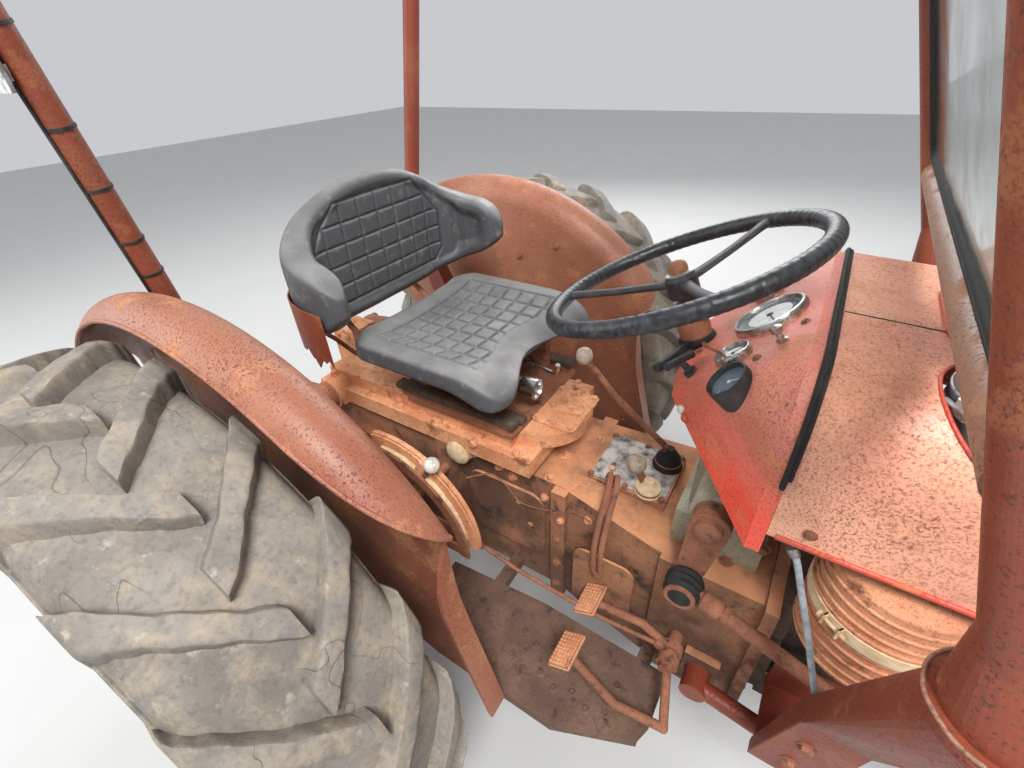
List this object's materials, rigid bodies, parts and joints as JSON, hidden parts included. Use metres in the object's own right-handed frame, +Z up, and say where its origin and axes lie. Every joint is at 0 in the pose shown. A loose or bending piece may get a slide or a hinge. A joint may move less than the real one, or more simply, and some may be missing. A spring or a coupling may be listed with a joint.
{
  "type": "vintage farm tractor",
  "caption": "Vintage two-wheel-drive farm tractor with a rounded bonnet, grille, bucket seat, shell fenders, open tube cab frame, lugged rear tyres and a rear lifting linkage.",
  "frame": {"origin": "middle of the footprint's box, on the ground", "axes": "+X forward, +Y to the driver's left, +Z up"},
  "size_m": [3.017, 1.684, 2.0308],
  "materials": {
    "cast_body": "rusted paint on castings",
    "engine_block": "oily iron",
    "red_paint": "faded, rust-speckled paint",
    "bare_casting": "grey-green casting",
    "black_grip": "worn black",
    "tyre": "worn, dusty",
    "rim_paint": "chalky, rust at the edges",
    "rusty_steel": "brown rust",
    "vinyl": "moulded vinyl",
    "glass": "clear, dusty"
  },
  "bodies": {
    "chassis": {"transmission": "cast_body", "lift_cover": "cast_body", "axle_housings": "cast_body", "engine": "engine_block", "front_support": "cast_body", "front_axle": "red_paint", "radius_rods": "red_paint", "hood": "red_paint", "nose": "red_paint", "dash": "red_paint", "steering_box": "bare_casting", "fenders": "red_paint", "footplates": "rusty_steel", "pedals": "rusty_steel", "levers": "black_grip", "quadrant": "red_paint", "seat_pan": "rusty_steel", "seat_cushion": "vinyl", "seat_back": "vinyl", "cab_sides": "red_paint", "lamps": "bare_casting", "cab_bars": "red_paint", "windscreen": "glass", "air_cleaner": "rusty_steel"},
    "filler_lid": {"filler_flap": "red_paint"},
    "steering_wheel": {"steering_wheel": "black_grip"},
    "drop_arm_left": {"drop_arm_left": "red_paint"},
    "drag_link_left": {"drag_link_left": "red_paint"},
    "knuckle_left": {"knuckle_left": "red_paint"},
    "front_wheel_left": {"front_tyre_left": "tyre", "front_rim_left": "rim_paint"},
    "rear_wheel_left": {"rear_tyre_left": "tyre", "rear_rim_left": "rim_paint"},
    "lower_link_left": {"lower_link_left": "rusty_steel"},
    "lift_rod_left": {"lift_rod_left": "rusty_steel"},
    "drop_arm_right": {"drop_arm_right": "red_paint"},
    "drag_link_right": {"drag_link_right": "red_paint"},
    "knuckle_right": {"knuckle_right": "red_paint"},
    "front_wheel_right": {"front_tyre_right": "tyre", "front_rim_right": "rim_paint"},
    "rear_wheel_right": {"rear_tyre_right": "tyre", "rear_rim_right": "rim_paint"},
    "lower_link_right": {"lower_link_right": "rusty_steel"},
    "lift_rod_right": {"lift_rod_right": "rusty_steel"},
    "lift_arms": {"lift_arms": "red_paint"}
  },
  "joints": [
    {"name": "filler_lid_hinge", "type": "hinge", "parent": "chassis", "child": "filler_lid", "pos_m": [0.6895, 0, 1.28218], "axis": [0, 1, 0], "range_deg": [0, 95]},
    {"name": "steering_wheel_turn", "type": "hinge", "parent": "chassis", "child": "steering_wheel", "pos_m": [0.0185, 0, 1.28], "axis": [-0.4019, 0, 0.9157], "range_deg": [-540, 540]},
    {"name": "drop_arm_left_swing", "type": "hinge", "parent": "chassis", "child": "drop_arm_left", "pos_m": [0.1835, 0.21, 0.95], "axis": [0, 1, 0], "range_deg": [-27, 27]},
    {"name": "drag_link_left_pivot", "type": "hinge", "parent": "drop_arm_left", "child": "drag_link_left", "pos_m": [0.1695, 0.225, 0.8], "axis": [0, 1, 0], "range_deg": [-27, 27]},
    {"name": "king_pin_left", "type": "hinge", "parent": "chassis", "child": "knuckle_left", "pos_m": [1.1435, 0.525, 0.529], "axis": [0, 0, 1], "range_deg": [-38, 38]},
    {"name": "front_wheel_left_spin", "type": "hinge", "parent": "knuckle_left", "child": "front_wheel_left", "pos_m": [1.1435, 0.65, 0.365], "axis": [0, 1, 0], "continuous": true},
    {"name": "rear_wheel_left_spin", "type": "hinge", "parent": "chassis", "child": "rear_wheel_left", "pos_m": [-0.6865, 0.692, 0.62], "axis": [0, 1, 0], "continuous": true},
    {"name": "drop_arm_right_swing", "type": "hinge", "parent": "chassis", "child": "drop_arm_right", "pos_m": [0.1835, -0.21, 0.95], "axis": [0, 1, 0], "range_deg": [-27, 27]},
    {"name": "drag_link_right_pivot", "type": "hinge", "parent": "drop_arm_right", "child": "drag_link_right", "pos_m": [0.1695, -0.225, 0.8], "axis": [0, 1, 0], "range_deg": [-27, 27]},
    {"name": "king_pin_right", "type": "hinge", "parent": "chassis", "child": "knuckle_right", "pos_m": [1.1435, -0.525, 0.529], "axis": [0, 0, 1], "range_deg": [-38, 38]},
    {"name": "front_wheel_right_spin", "type": "hinge", "parent": "knuckle_right", "child": "front_wheel_right", "pos_m": [1.1435, -0.65, 0.365], "axis": [0, 1, 0], "continuous": true},
    {"name": "rear_wheel_right_spin", "type": "hinge", "parent": "chassis", "child": "rear_wheel_right", "pos_m": [-0.6865, -0.692, 0.62], "axis": [0, 1, 0], "continuous": true},
    {"name": "lift_arms_raise", "type": "hinge", "parent": "chassis", "child": "lift_arms", "pos_m": [-0.7965, 0, 0.852], "axis": [0, 1, 0], "range_deg": [-10, 28]},
    {"name": "lower_link_left_raise", "type": "hinge", "parent": "chassis", "child": "lower_link_left", "pos_m": [-0.6465, 0.227, 0.385], "axis": [0, 1, 0], "range_deg": [-6.3, 17.4]},
    {"name": "lift_rod_left_pivot", "type": "hinge", "parent": "lift_arms", "child": "lift_rod_left", "pos_m": [-1.06547, 0.227, 0.82847], "axis": [0, 1, 0], "range_deg": [-28, 10]},
    {"name": "lower_link_right_raise", "type": "hinge", "parent": "chassis", "child": "lower_link_right", "pos_m": [-0.6465, -0.227, 0.385], "axis": [0, 1, 0], "range_deg": [-6.3, 17.4]},
    {"name": "lift_rod_right_pivot", "type": "hinge", "parent": "lift_arms", "child": "lift_rod_right", "pos_m": [-1.06547, -0.227, 0.82847], "axis": [0, 1, 0], "range_deg": [-28, 10]}
  ],
  "couplings": [
    {"joint": "drop_arm_left_swing", "follows": "steering_wheel_turn", "ratio": -0.05},
    {"joint": "drag_link_left_pivot", "follows": "steering_wheel_turn", "ratio": 0.05},
    {"joint": "king_pin_left", "follows": "steering_wheel_turn", "ratio": 0.07},
    {"joint": "drop_arm_right_swing", "follows": "steering_wheel_turn", "ratio": 0.05},
    {"joint": "drag_link_right_pivot", "follows": "steering_wheel_turn", "ratio": -0.05},
    {"joint": "king_pin_right", "follows": "steering_wheel_turn", "ratio": 0.07},
    {"joint": "lower_link_left_raise", "follows": "lift_arms_raise", "ratio": 0.6158},
    {"joint": "lift_rod_left_pivot", "follows": "lift_arms_raise", "ratio": -0.9954},
    {"joint": "lower_link_right_raise", "follows": "lift_arms_raise", "ratio": 0.6158},
    {"joint": "lift_rod_right_pivot", "follows": "lift_arms_raise", "ratio": -0.9954}
  ]
}
